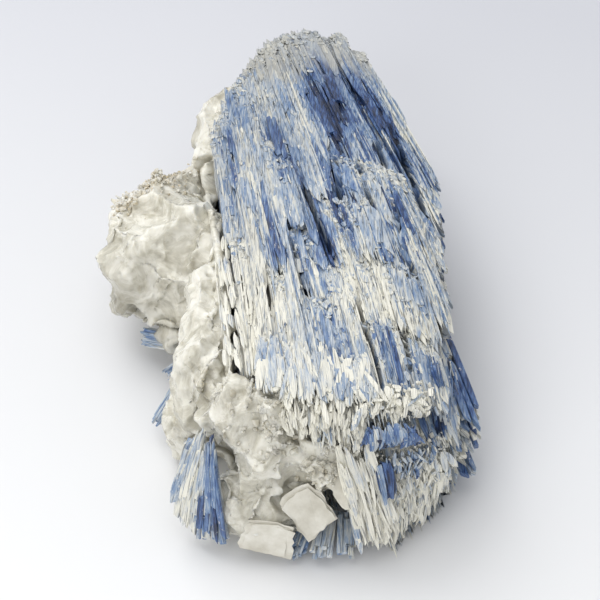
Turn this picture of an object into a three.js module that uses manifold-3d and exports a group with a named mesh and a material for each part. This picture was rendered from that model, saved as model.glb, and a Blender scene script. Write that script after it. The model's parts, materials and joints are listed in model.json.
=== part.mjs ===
// Kyanite blade cluster: a sheaf of long kyanite blades on a lump of milky quartz, lying on its side.
// Millimetres, +Z up. The blades run along Y and fan out towards -Y, and the quartz fills the -X flank.
import * as THREE from 'three';
import { mergeVertices } from 'three/addons/utils/BufferGeometryUtils.js';
import Module from 'manifold-3d';

const wasm = await Module();
wasm.setup();

// ---- Driving dimensions -------------------------------------------------------------------------

// The sheaf is a fan: every blade lies along a straight line from the far end to the near end.
const FAR_Y = 76;
const FAR_LEFT_X = -19.5;
const FAR_RIGHT_X = 21.4;
const LEFT_SPREAD = Math.tan(THREE.MathUtils.degToRad(6.2));
const RIGHT_SPREAD = Math.tan(THREE.MathUtils.degToRad(21.3));
const FLANK_X = 45.4;
const FLANK_BULGE = 4;
const FAR_BREAK = 46;
const CREST_Z = 48;
const BED_LEFT_Z = 15;
const BED_WIDTH = 58;

const GAP = 0.16;
const CUT_CLEARANCE = 0.32;
// The far ends are oblique, so a cutter reaches this many clearances past them.
const FAR_CUT = 3;
const WARP = 0.55;

const DEEP_BLUE = 0x24478f;
const MID_BLUE = 0x5b7fb8;
const PALE_BLUE = 0xa3b7cf;
const CREAM = 0xe6e3d8;
const MILKY = 0xd9d6cb;

const cluster = new THREE.Group();
const cutters = [];

// ---- Shared shapes ------------------------------------------------------------------------------

function solidMesh(geometry, name, color, roughness = 0.5) {
  const material = new THREE.MeshStandardMaterial({ color, roughness, metalness: 0 });
  const mesh = new THREE.Mesh(geometry, material);
  mesh.name = name;
  cluster.add(mesh);
  return mesh;
}

function weld(geometry) {
  const bare = geometry.clone();
  bare.deleteAttribute('normal');
  bare.deleteAttribute('uv');
  return mergeVertices(bare, 1e-4);
}

function toManifold(geometry) {
  const welded = weld(geometry);
  const vertProperties = new Float32Array(welded.attributes.position.array);
  const triVerts = new Uint32Array(welded.index.array);
  return new wasm.Manifold(new wasm.Mesh({ numProp: 3, vertProperties, triVerts }));
}

function fromManifold(manifold) {
  const mesh = manifold.getMesh();
  const geometry = new THREE.BufferGeometry();
  geometry.setAttribute('position', new THREE.BufferAttribute(mesh.vertProperties, 3));
  geometry.setIndex(new THREE.BufferAttribute(mesh.triVerts, 1));
  geometry.computeVertexNormals();
  return geometry;
}

function mapVertices(geometry, place) {
  const positions = geometry.attributes.position;
  for (let i = 0; i < positions.count; i += 1) {
    const p = place(positions.getX(i), positions.getY(i), positions.getZ(i));
    positions.setXYZ(i, p.x, p.y, p.z);
  }
  geometry.computeVertexNormals();
  return geometry;
}

// ---- The fan that all sheaf blades share --------------------------------------------------------

function fanX(across, y) {
  const spread = LEFT_SPREAD + (RIGHT_SPREAD - LEFT_SPREAD) * across;
  return FAR_LEFT_X + (FAR_RIGHT_X - FAR_LEFT_X) * across + spread * (FAR_Y - y);
}

// The y where the fan line reaches the broken right flank: no blade goes on past it.
function flankY(across, inset) {
  const spread = LEFT_SPREAD + (RIGHT_SPREAD - LEFT_SPREAD) * across;
  const farX = FAR_LEFT_X + (FAR_RIGHT_X - FAR_LEFT_X) * across;
  let y = 0;
  for (let pass = 0; pass < 4; pass += 1) {
    const bulge = FLANK_BULGE * THREE.MathUtils.smoothstep(-y, 15, 55);
    y = FAR_Y - (FLANK_X + bulge - inset - farX) / spread;
  }
  return y;
}

// The far end is broken off obliquely: the blades on the left stop short.
function farBreakY(across) {
  return FAR_Y + 6 - FAR_BREAK * Math.max(0, 1 - across / 0.85) ** 2.4;
}

function crestZ(x, y) {
  const overRight = Math.max(0, x - 15);
  const overFar = Math.max(0, y - 30);
  const overNear = Math.max(0, -50 - y);
  return CREST_Z - 0.0095 * overRight ** 2 - 0.045 * overFar - 0.012 * overNear ** 2;
}

function bedZ(x, y) {
  const towardsLeft = THREE.MathUtils.clamp(1 - (x - FAR_LEFT_X) / BED_WIDTH, 0, 1);
  const lowNearEnd = THREE.MathUtils.clamp((y + 80) / 60, 0.35, 1);
  const liftFarEnd = 0.13 * Math.max(0, y - 20);
  return 0.6 + BED_LEFT_Z * towardsLeft * lowNearEnd + liftFarEnd;
}

function warp(x, y, z) {
  const dx = WARP * Math.sin(y / 21 + z / 16);
  const dz = WARP * 0.7 * Math.sin(y / 17 + x / 19);
  return new THREE.Vector3(x + dx, y, z + dz);
}

// One blade: a lath with a low crown that fills a cell of the fan. across and height are shares of
// the fan, along is in millimetres, sunk lowers the top face and rake leans the near end.
function fanBlade(cell, clearance) {
  const [low, high] = cell.height;
  const [left, right] = cell.across;
  const [farY, nearY] = cell.along;
  const box = new THREE.BoxGeometry(1, 1, 1, 2, cell.steps, 1);
  return mapVertices(box, (a, b, c) => {
    const across = left + (right - left) * (a + 0.5);
    const upper = c > 0 ? 1 : 0;
    const nearLimit = Math.max(nearY - cell.rake * (1 - upper), flankY(across, cell.inset));
    const farLimit = Math.min(farY, farBreakY(across) + cell.jut) + 1.5 * (a - 0.5) * (1 - upper);
    const share = b + 0.5;
    const endClearance = clearance * (b > 0.49 ? FAR_CUT : -(b < -0.49));
    const y = nearLimit + (farLimit - nearLimit) * share + endClearance;
    const x = fanX(across, y) + (clearance - GAP) * Math.sign(a);
    const bed = bedZ(x, y);
    const rise = crestZ(x, y) - bed;
    const endWear = upper * cell.wear * Math.abs(2 * b) ** 6;
    const crown = upper * (a === 0 ? 0.35 : 0);
    const level = bed + rise * (upper ? high : low) + (clearance - GAP) * Math.sign(c);
    return warp(x, y, level - upper * (cell.sunk + endWear) + crown);
  });
}

function addFanBlade(name, cell, color) {
  const shape = { steps: 5, rake: 1.6, inset: 0, jut: 0, wear: 0.5, ...cell };
  cutters.push(toManifold(fanBlade(shape, CUT_CLEARANCE + GAP)));
  solidMesh(fanBlade(shape, 0), name, color, 0.42);
}

// ---- Sheaf: top layer ---------------------------------------------------------------------------

const TOP_HEIGHT = [0.8, 1];

const TOP_BLADES = [
  { across: [0.0, 0.07], along: [90, -6], sunk: 2.6, color: PALE_BLUE },
  { across: [0.0, 0.07], along: [-8, -53], sunk: 2.0, color: CREAM },
  { across: [0.07, 0.14], along: [90, -56], sunk: 0.9, color: PALE_BLUE },
  { across: [0.14, 0.19], along: [90, -20], sunk: 0.5, color: PALE_BLUE },
  { across: [0.14, 0.19], along: [-22, -56], sunk: 1.1, color: CREAM },
  { across: [0.19, 0.24], along: [90, -52], sunk: 0.2, color: MID_BLUE },
  { across: [0.24, 0.345], along: [90, 30], sunk: 0.8, color: PALE_BLUE },
  { across: [0.24, 0.345], along: [28, -3], sunk: 0.0, color: MID_BLUE },
  { across: [0.24, 0.345], along: [-5, -28], sunk: 1.8, color: DEEP_BLUE },
  { across: [0.24, 0.345], along: [-30, -52], sunk: 0.6, color: MID_BLUE },
  { across: [0.19, 0.33], along: [-55, -68], sunk: 3.0, color: PALE_BLUE },
  { across: [0.345, 0.42], along: [90, -17], sunk: 0.4, color: MID_BLUE },
  { across: [0.345, 0.42], along: [-19, -64], sunk: 1.0, color: PALE_BLUE },
  { across: [0.42, 0.485], along: [90, 8], sunk: 0.0, color: PALE_BLUE },
  { across: [0.42, 0.485], along: [6, -36], sunk: 1.2, color: CREAM },
  { across: [0.485, 0.56], along: [90, 7], sunk: 0.6, color: MID_BLUE },
  { across: [0.485, 0.64], along: [5, -14], sunk: 0.0, color: PALE_BLUE },
  { across: [0.485, 0.6], along: [-16, -36], sunk: 0.9, color: PALE_BLUE },
  { across: [0.43, 0.585], along: [-38, -66], sunk: 0.2, color: MID_BLUE },
  { across: [0.56, 0.66], along: [90, 24], sunk: 1.4, color: DEEP_BLUE },
  { across: [0.56, 0.64], along: [22, 7], sunk: 0.2, color: MID_BLUE },
  { across: [0.66, 0.77], along: [90, 24], sunk: 0.4, color: DEEP_BLUE },
  { across: [0.64, 0.75], along: [22, -14], sunk: 0.9, color: MID_BLUE },
  { across: [0.6, 0.75], along: [-16, -37], sunk: 0.4, color: PALE_BLUE },
  { across: [0.585, 0.72], along: [-39, -68], sunk: 1.0, color: MID_BLUE },
  { across: [0.77, 0.85], along: [90, 24], sunk: 1.2, color: DEEP_BLUE },
  { across: [0.75, 0.84], along: [22, -30], sunk: 0.8, color: CREAM },
  { across: [0.84, 0.92], along: [22, -14], sunk: 1.8, color: PALE_BLUE },
  { across: [0.85, 0.92], along: [81, 24], sunk: 2.8, color: DEEP_BLUE },
  { across: [0.92, 1.02], along: [80, 4], sunk: 1.0, color: DEEP_BLUE },
  { across: [1.02, 1.12], along: [74, 14], sunk: 2.0, color: MID_BLUE },
];

TOP_BLADES.forEach(({ color, ...cell }, i) => {
  const name = `top_blade_${String(i + 1).padStart(2, '0')}`;
  addFanBlade(name, { height: TOP_HEIGHT, ...cell }, color);
});

// ---- Sheaf: rows below --------------------------------------------------------------------------

const LOWER_ROWS = [
  { name: 'upper_row_blade', height: [0.54, 0.78], edges: [0, 0.2, 0.42, 0.6, 0.8, 1.12], reach: [-58, -67, -69, -72, -72], inset: 0.5, jut: -1 },
  { name: 'middle_row_blade', height: [0.27, 0.52], edges: [0, 0.3, 0.52, 0.76, 1.1], reach: [-58, -71, -72, -72], inset: 1.5, jut: -3 },
  { name: 'bottom_row_blade', height: [0.0, 0.25], edges: [0.12, 0.42, 0.7, 1.06], reach: [-60, -74.5, -69], inset: 4.5, jut: -6 },
];

for (const row of LOWER_ROWS) {
  row.reach.forEach((nearY, i) => {
    const across = [row.edges[i], row.edges[i + 1]];
    const along = [90, nearY];
    const color = i % 2 ? MID_BLUE : PALE_BLUE;
    const cell = { steps: 5, height: row.height, across, along, sunk: 0, rake: 1.5, wear: 0, inset: row.inset };
    cell.jut = row.jut - 2.5 * (i % 2);
    addFanBlade(`${row.name}_${i + 1}`, cell, color);
  });
}

// ---- Free blades: small laths that lie across the matrix ----------------------------------------

// A lath from one point to another. facing is the way its broad face looks.
function freeBlade({ from, to, widths, thickness, facing }, clearance) {
  const start = new THREE.Vector3(...from);
  const end = new THREE.Vector3(...to);
  const direction = end.clone().sub(start).normalize();
  const side = new THREE.Vector3(...facing).cross(direction).normalize();
  const normal = direction.clone().cross(side);
  const box = new THREE.BoxGeometry(1, 1, 1, 2, 3, 1);
  return mapVertices(box, (a, b, c) => {
    const share = 0.5 - b;
    const width = THREE.MathUtils.lerp(widths[0], widths[1], share) + 2 * clearance;
    const crown = c > 0 && a === 0 ? 0.3 : 0;
    const slant = 0.25 * width * a * share;
    const beyond = clearance * Math.sign(-b) * (Math.abs(b) > 0.49);
    return start.clone().lerp(end, share)
      .addScaledVector(direction, slant + beyond)
      .addScaledVector(side, width * a)
      .addScaledVector(normal, (thickness + 2 * clearance) * c + crown);
  });
}

function addFreeBlade(name, lath, color) {
  cutters.push(toManifold(freeBlade(lath, CUT_CLEARANCE)));
  solidMesh(freeBlade(lath, 0), name, color, 0.42);
}

// The side fan: blades spreading down the near left face from one apex.
const FAN_APEX = [-15.2, -67, 38];
const FAN_TIPS = [
  { tip: [-22.8, -69.5, 13], color: PALE_BLUE },
  { tip: [-19.6, -72, 6], color: MID_BLUE },
  { tip: [-15.8, -74.8, 3], color: PALE_BLUE },
  { tip: [-11.4, -77.5, 4.5], color: DEEP_BLUE },
];

FAN_TIPS.forEach(({ tip, color }, i) => {
  const from = FAN_APEX.map((value, axis) => THREE.MathUtils.lerp(value, tip[axis], 0.24));
  const lath = { from, to: tip, widths: [0.7, 3.6], thickness: 2.2, facing: [-0.25, -1, 0.35] };
  addFreeBlade(`side_fan_blade_${i + 1}`, lath, color);
});

// Short blades that stick out from under the big quartz lump.
const LUMP_BLADES = [
  { from: [-16.5, -21.4, 18], to: [-26, -21.6, 8.6], widths: [3.0, 3.0], facing: [-0.2, -1, 0.7] },
  { from: [-21.5, -16.4, 13.4], to: [-33.4, -8.6, 8.4], widths: [4.2, 4.6], facing: [-0.4, -1, 0.6] },
  { from: [-19.5, -26.4, 17], to: [-28.6, -36.4, 6.6], widths: [2.2, 2.6], facing: [-1, -0.4, 0.4] },
  { from: [-11.5, -13.6, 27], to: [-20.2, -18.8, 19.4], widths: [3.2, 3.6], facing: [-0.4, -1, 0.6] },
];

LUMP_BLADES.forEach((lath, i) => addFreeBlade(`lump_blade_${i + 1}`, { thickness: 1.8, ...lath }, DEEP_BLUE));

// Stubby blades that point out of the hollow under the near end.
const ROSETTE_BLADES = [
  { from: [12, -70, 6], to: [7.5, -81, 3.6], widths: [3.2, 4.6], thickness: 3.0, facing: [0, -0.4, 1] },
  { from: [16.2, -70, 6.5], to: [14, -81.5, 3.8], widths: [3.2, 4.4], thickness: 3.4, facing: [0, -0.4, 1] },
  { from: [20.6, -70, 6.5], to: [20.6, -81, 3.4], widths: [3.0, 4.2], thickness: 3.0, facing: [0, -0.4, 1] },
];

ROSETTE_BLADES.forEach((lath, i) => addFreeBlade(`rosette_blade_${i + 1}`, lath, MID_BLUE));

// Mica books: short stacks of pale plates at the near end.
const MICA_BOOKS = [
  { from: [19.5, -73.6, 27], to: [21.5, -76.4, 19], widths: [7.5, 6.5], thickness: 2.6, facing: [0, -1, 0.5] },
  { from: [9, -76, 20], to: [11.5, -80, 11], widths: [8, 9], thickness: 2.2, facing: [-0.1, -1, 0.5] },
  { from: [-2, -80, 13], to: [1, -81.5, 4], widths: [9, 11], thickness: 2.0, facing: [-0.2, -1, 0.3] },
];

MICA_BOOKS.forEach((lath, i) => addFreeBlade(`mica_book_${i + 1}`, lath, CREAM));

// ---- Quartz matrix ------------------------------------------------------------------------------

// Lumps of the matrix: centre, radii, and a seed that shapes its facets.
const QUARTZ_LUMPS = [
  { at: [-26.5, 8, 24], size: [22.8, 23, 20], detail: 4, seed: 1 },
  { at: [-37, 22, 25], size: [9.5, 11, 9.5], detail: 3, seed: 2 },
  { at: [-27.5, 30, 26], size: [9.5, 10.5, 9.5], detail: 3, seed: 3 },
  { at: [-13.5, 49, 24], size: [10.5, 26, 16], detail: 3, seed: 4 },
  { at: [-35, -3, 13], size: [10, 10, 9.5], detail: 2, seed: 5 },
  { at: [-25, -9, 14], size: [12, 11, 12], detail: 3, seed: 6 },
  { at: [-14, -36, 26], size: [12, 23, 19], detail: 3, seed: 7 },
  { at: [-19.5, -43, 11], size: [9, 13, 11.5], detail: 2, seed: 8 },
  { at: [-9, -60, 33], size: [9, 11, 11], detail: 3, seed: 9 },
  { at: [1, -67, 27], size: [9.5, 8.5, 9], detail: 2, seed: 10 },
  { at: [-4, -70, 13], size: [13.5, 10, 13.5], detail: 3, seed: 11 },
  { at: [6, -71, 8], size: [13, 9, 9], detail: 3, seed: 12 },
  { at: [4, -6, 4], size: [30, 62, 12], detail: 2, seed: 13 },
  { at: [-10, 12, 16], size: [18, 52, 17], detail: 2, seed: 14 },
  { at: [-12, -14, 33], size: [9, 34, 12.5], detail: 2, seed: 15 },
  { at: [4, -61, 35], size: [13, 10, 11], detail: 2, seed: 16 },
  { at: [14, -69.5, 25], size: [11, 7.5, 12], detail: 2, seed: 17 },
];

// A lump is a sphere cut back to a few planes, so that it reads as broken quartz.
const LUMP_FACETS = 18;
const GOLDEN_ANGLE = Math.PI * (3 - Math.sqrt(5));

function facetDirection(k, seed) {
  const height = 1 - (2 * k + 1) / LUMP_FACETS;
  const ring = Math.sqrt(1 - height * height);
  const turn = GOLDEN_ANGLE * k + 2.4 * seed;
  return new THREE.Vector3(ring * Math.cos(turn), ring * Math.sin(turn), height);
}

function quartzLump({ at, size, detail, seed }) {
  const sphere = weld(new THREE.IcosahedronGeometry(1, detail));
  const facets = Array.from({ length: LUMP_FACETS }, (_, k) => facetDirection(k, seed));
  const depths = facets.map((_, k) => 0.86 + 0.09 * Math.sin(7 * k + 5 * seed));
  return mapVertices(sphere, (x, y, z) => {
    const way = new THREE.Vector3(x, y, z);
    const reach = facets.map((facet, k) => depths[k] / Math.max(0.05, facet.dot(way)));
    const radius = Math.min(1.06, ...reach);
    const place = new THREE.Vector3(...size).multiply(way).multiplyScalar(radius);
    return place.add(new THREE.Vector3(...at));
  });
}

// A plain box in the fan or in space, used only to cut.
function block(size, at) {
  const box = new THREE.BoxGeometry(...size);
  box.translate(...at);
  return toManifold(box);
}

// The heart of the sheaf, a little inside its outer blades, so that no quartz is left in its joints.
function sheafHeart() {
  const heart = { across: [0.01, 1.0], along: [70, -50], height: [0.03, 0.93] };
  Object.assign(heart, { steps: 5, sunk: 0, rake: 0, inset: 1, jut: -3, wear: 0 });
  return toManifold(fanBlade(heart, 0));
}

function quartzMatrix() {
  let rock = toManifold(quartzLump(QUARTZ_LUMPS[0]));
  for (const lump of QUARTZ_LUMPS.slice(1)) {
    rock = rock.add(toManifold(quartzLump(lump)));
  }
  rock = rock.subtract(sheafHeart());
  for (const cutter of cutters) {
    rock = rock.subtract(cutter);
  }
  const belowFloor = block([300, 300, 100], [0, 0, -50]);
  // The chips that the blades cut loose are dropped, and the one big piece is kept.
  const chunks = rock.subtract(belowFloor).decompose();
  return chunks.reduce((largest, chunk) => (chunk.volume() > largest.volume() ? chunk : largest));
}

solidMesh(fromManifold(quartzMatrix()), 'quartz_matrix', MILKY, 0.3);

export default cluster;
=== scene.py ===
import json
import math
import bmesh
import bpy
import numpy as np
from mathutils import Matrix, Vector, kdtree


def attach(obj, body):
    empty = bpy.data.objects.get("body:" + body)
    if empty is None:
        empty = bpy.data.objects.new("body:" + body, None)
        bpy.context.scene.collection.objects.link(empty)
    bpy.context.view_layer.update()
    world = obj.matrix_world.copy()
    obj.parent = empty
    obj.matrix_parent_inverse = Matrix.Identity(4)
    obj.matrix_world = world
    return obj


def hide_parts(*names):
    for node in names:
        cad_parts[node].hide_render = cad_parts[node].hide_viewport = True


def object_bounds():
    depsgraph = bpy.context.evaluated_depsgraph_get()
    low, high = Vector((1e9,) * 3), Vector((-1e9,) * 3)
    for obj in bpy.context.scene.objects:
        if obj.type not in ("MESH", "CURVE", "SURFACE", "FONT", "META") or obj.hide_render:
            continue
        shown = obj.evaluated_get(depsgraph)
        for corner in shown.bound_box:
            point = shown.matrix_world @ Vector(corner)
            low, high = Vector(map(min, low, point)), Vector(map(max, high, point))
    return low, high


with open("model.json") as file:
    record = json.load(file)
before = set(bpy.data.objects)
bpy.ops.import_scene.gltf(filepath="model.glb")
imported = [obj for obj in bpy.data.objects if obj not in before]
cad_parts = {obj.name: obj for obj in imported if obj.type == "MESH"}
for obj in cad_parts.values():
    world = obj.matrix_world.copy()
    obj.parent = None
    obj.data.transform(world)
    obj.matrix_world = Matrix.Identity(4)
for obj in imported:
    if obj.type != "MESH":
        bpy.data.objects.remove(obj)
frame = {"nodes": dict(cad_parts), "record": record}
cad_box = [list(corner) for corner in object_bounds()]


# ---- Camera ----
# A long lens looks down at 45 degrees on the specimen, which lies with its sheaf running away from the
# viewer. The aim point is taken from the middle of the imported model's box.

lowest, highest = (Vector(corner) for corner in cad_box)
middle = (lowest + highest) / 2
aim = middle + Vector((0.0079, -0.0096, -0.0003))
camera_distance = 0.62
look_down = math.radians(45)
camera_way = Vector((0, math.cos(look_down), -math.sin(look_down)))

camera_data = bpy.data.cameras.new("camera")
camera_data.lens = 138
camera_data.sensor_width = 36
camera_data.clip_start = 0.01
camera = bpy.data.objects.new("camera", camera_data)
camera.location = aim - camera_way * camera_distance
camera.rotation_euler = camera_way.to_track_quat("-Z", "Y").to_euler()
bpy.context.scene.collection.objects.link(camera)
bpy.context.scene.camera = camera


# ---- Floor and light ----
# A sheet of pale grey card lies under a light tent. The brightest panel stands behind and above, so the
# soft shadow falls towards the viewer and to the right, and the tent's walls fill in the near side.


def srgb(code):
    """An sRGB hex colour as linear RGBA."""
    parts = [int(code[i:i + 2], 16) / 255 for i in (1, 3, 5)]
    linear = [c / 12.92 if c <= 0.04045 else ((c + 0.055) / 1.055) ** 2.4 for c in parts]
    return (*linear, 1.0)


def add_node(tree, kind, inputs=None, **settings):
    """Adds a node, sets its options, and fills or links its inputs."""
    made = tree.nodes.new(kind)
    for key, value in settings.items():
        setattr(made, key, value)
    for key, value in (inputs or {}).items():
        if isinstance(value, bpy.types.NodeSocket):
            tree.links.new(value, made.inputs[key])
        else:
            made.inputs[key].default_value = value
    return made


def set_ramp(ramp_node, stops):
    """Gives a colour ramp its stops, each a place from 0 to 1 and an RGBA colour."""
    ramp = ramp_node.color_ramp
    while len(ramp.elements) < len(stops):
        ramp.elements.new(0.5)
    for element, (place, color) in zip(ramp.elements, stops):
        element.position = place
        element.color = color


def new_material(name):
    """An empty node material, and its node tree."""
    material = bpy.data.materials.new(name)
    material.use_nodes = True
    material.node_tree.nodes.clear()
    return material, material.node_tree


def card_material():
    # Matt card with painted shade: a little cooler and darker towards the back, as if less light reached it
    # there.
    material, tree = new_material("matt_pale_card")
    coords = add_node(tree, "ShaderNodeTexCoord")
    turned = add_node(tree, "ShaderNodeMapping", {
        "Vector": coords.outputs["Object"], "Rotation": (0, 0, 0.2)})
    split = add_node(tree, "ShaderNodeSeparateXYZ", {"Vector": turned.outputs[0]})
    depth = add_node(tree, "ShaderNodeMapRange", {
        "Value": split.outputs["Y"], "From Min": -0.14, "From Max": 0.16, "To Min": 0.0, "To Max": 1.0})
    tone = add_node(tree, "ShaderNodeMix", {
        "Factor": depth.outputs[0], "A": srgb("#f0f0ef"), "B": srgb("#cbccd1")}, data_type="RGBA")
    surface = add_node(tree, "ShaderNodeBsdfPrincipled", {
        "Base Color": tone.outputs["Result"], "Roughness": 0.9})
    add_node(tree, "ShaderNodeOutputMaterial", {"Surface": surface.outputs[0]})
    return material


floor_bm = bmesh.new()
bmesh.ops.create_grid(floor_bm, x_segments=2, y_segments=2, size=1.5)
floor_mesh = bpy.data.meshes.new("floor")
floor_bm.to_mesh(floor_mesh)
floor_bm.free()
floor_mesh.materials.append(card_material())
floor = bpy.data.objects.new("floor", floor_mesh)
bpy.context.scene.collection.objects.link(floor)

# Each panel's place and size in metres, and its power in watts. All of them face the specimen.
LIGHT_PANELS = {
    "back_panel": ((-0.34, 0.42, 0.75), 0.6, 3.7),
    "roof_panel": ((-0.1, 0.0, 0.95), 0.7, 2.2),
    "front_panel": ((-0.4, -0.75, 0.5), 0.7, 3.0),
}
for panel_name, (place, size, watts) in LIGHT_PANELS.items():
    panel = bpy.data.lights.new(panel_name, "AREA")
    panel.shape = "SQUARE"
    panel.size = size
    panel.energy = watts
    panel_object = bpy.data.objects.new(panel_name, panel)
    panel_object.location = place
    panel_object.rotation_euler = (middle - Vector(place)).to_track_quat("-Z", "Y").to_euler()
    bpy.context.scene.collection.objects.link(panel_object)

world = bpy.data.worlds.new("light_tent")
world.use_nodes = True
world.node_tree.nodes["Background"].inputs["Color"].default_value = srgb("#f3f5f9")
world.node_tree.nodes["Background"].inputs["Strength"].default_value = 0.6
bpy.context.scene.world = world
bpy.context.scene.view_settings.view_transform = "Standard"


# ---- Kyanite sheaf ----
# Long triclinic blades that grew side by side and spread towards the near end. Each blade is a stack of
# thin laths that cleave apart lengthwise, so its top is stepped, its ends are splintered, and fine dark
# grooves run between the laths. All sizes in this section are millimetres.

MM = 0.001
# The sheaf is a fan of straight lines: their x at the far end, and their run to the right for each mm
# nearer. FLANK_X is where the right flank cuts them off.
FAR_Y = 76
FAR_LEFT_X, FAR_RIGHT_X = -19.5, 21.4
LEFT_SPREAD, RIGHT_SPREAD = math.tan(math.radians(6.2)), math.tan(math.radians(21.3))
FLANK_X = 45.4


def spread_at(across):
    return LEFT_SPREAD + (RIGHT_SPREAD - LEFT_SPREAD) * across


def fan_x(across, y):
    """The x of a point that lies a share across the fan, from 0 at the left to 1 at the right."""
    return FAR_LEFT_X + (FAR_RIGHT_X - FAR_LEFT_X) * across + spread_at(across) * (FAR_Y - y)


def fan_width(y):
    return FAR_RIGHT_X - FAR_LEFT_X + (RIGHT_SPREAD - LEFT_SPREAD) * (FAR_Y - y)


def fan_across(x, y):
    """The inverse of fan_x."""
    return (x - FAR_LEFT_X - LEFT_SPREAD * (FAR_Y - y)) / fan_width(y)


def smooth_step(value, low, high):
    t = np.clip((value - low) / (high - low), 0, 1)
    return t * t * (3 - 2 * t)


def flank_y(across, inset):
    """The y where a fan line runs out of the broken right flank."""
    y = np.zeros_like(across)
    for _ in range(4):
        bulge = 4 * smooth_step(-y, 15, 55)
        to_flank = FLANK_X + bulge - inset - FAR_LEFT_X - (FAR_RIGHT_X - FAR_LEFT_X) * across
        y = FAR_Y - to_flank / spread_at(across)
    return y


def far_break_y(across):
    """The broken far end: it comes nearer and nearer towards the left."""
    return FAR_Y + 6 - 46 * np.maximum(0, 1 - across / 0.85) ** 2.4


def crest_z(x, y):
    """The top of the sheaf: level, and falling away to the right, to the far end and over the near step."""
    return (48 - 0.0095 * np.maximum(0, x - 15) ** 2 - 0.045 * np.maximum(0, y - 30)
            - 0.012 * np.maximum(0, -50 - y) ** 2)


def bed_z(x, y):
    """The foot of the sheaf, which rises over the quartz towards the left and at the far end."""
    towards_left = np.clip(1 - (x - FAR_LEFT_X) / 58, 0, 1)
    low_near_end = np.clip((y + 80) / 60, 0.35, 1)
    return 0.6 + 15 * towards_left * low_near_end + 0.13 * np.maximum(0, y - 20)


def front_y(across):
    """The broken near end: it stands further back towards the right."""
    return np.interp(across, [0.36, 0.42, 0.5, 0.55, 0.61, 0.7], [-80, -76, -69, -66, -63, -60])


def lean(across, y):
    """The blades of the right half run a little to the left as they come nearer."""
    return 0.0008 * np.minimum(0, y - 25) * smooth_step(across, 0.4, 0.6)


def lath_master(rings, edge=0.0):
    """A unit lath along Y, with worn long edges if edge is given, as vertex places and faces."""
    bm = bmesh.new()
    bmesh.ops.create_cube(bm, size=1)
    sides = [e for e in bm.edges if abs(e.verts[0].co.y - e.verts[1].co.y) > 0.5]
    bmesh.ops.subdivide_edges(bm, edges=sides, cuts=rings, use_grid_fill=True)
    if edge:
        long_edges = [e for e in bm.edges if abs(e.verts[0].co.y - e.verts[1].co.y) > 1e-4]
        bmesh.ops.bevel(bm, geom=long_edges, offset=edge, offset_type="OFFSET", segments=1, profile=0.5,
                        affect="EDGES", material=-1)
    bmesh.ops.recalc_face_normals(bm, faces=bm.faces)
    return master_arrays(bm)


def master_arrays(bm):
    """The vertex places and the faces of a bmesh, which is freed."""
    bm.verts.index_update()
    places = np.array([v.co[:] for v in bm.verts])
    faces = [[v.index for v in f.verts] for f in bm.faces]
    bm.free()
    return places, faces


def copies_mesh(name, places, faces):
    """Joins many mapped copies of one master. places has one row of vertices per copy."""
    count, per_copy, _ = places.shape
    loops = np.array([i for f in faces for i in f])
    sizes = np.array([len(f) for f in faces])
    starts = np.concatenate([[0], np.cumsum(sizes)[:-1]])
    shift = np.arange(count)[:, None]
    mesh = bpy.data.meshes.new(name)
    mesh.vertices.add(count * per_copy)
    mesh.loops.add(count * len(loops))
    mesh.polygons.add(count * len(faces))
    mesh.vertices.foreach_set("co", (places * MM).astype(np.float32).ravel())
    mesh.loops.foreach_set("vertex_index", (loops[None] + shift * per_copy).astype(np.int32).ravel())
    mesh.polygons.foreach_set("loop_start", (starts[None] + shift * len(loops)).astype(np.int32).ravel())
    mesh.polygons.foreach_set("use_smooth", np.zeros(count * len(faces), bool))
    mesh.update(calc_edges=True)
    return mesh


def set_attribute(mesh, name, values):
    layer = mesh.attributes.new(name, "FLOAT", "POINT")
    layer.data.foreach_set("value", np.asarray(values, np.float32).ravel())


def set_uv(mesh, across, along):
    """A UV map in millimetres across and along the blades, read by the streaks of the kyanite."""
    corner = np.zeros(len(mesh.loops), np.int32)
    mesh.loops.foreach_get("vertex_index", corner)
    uv = np.stack([across.ravel()[corner], along.ravel()[corner]], 1)
    mesh.uv_layers.new(name="grain").data.foreach_set("uv", uv.astype(np.float32).ravel())


def add_piece(name, mesh, material, slot, *nodes):
    """Links a finished piece, rides it on the one body and hides the CAD solids that it stands for."""
    mesh.materials.append(material)
    piece = bpy.data.objects.new(name, mesh)
    bpy.context.scene.collection.objects.link(piece)
    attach(piece, "root")
    if nodes:
        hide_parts(*nodes)
    return piece


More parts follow.
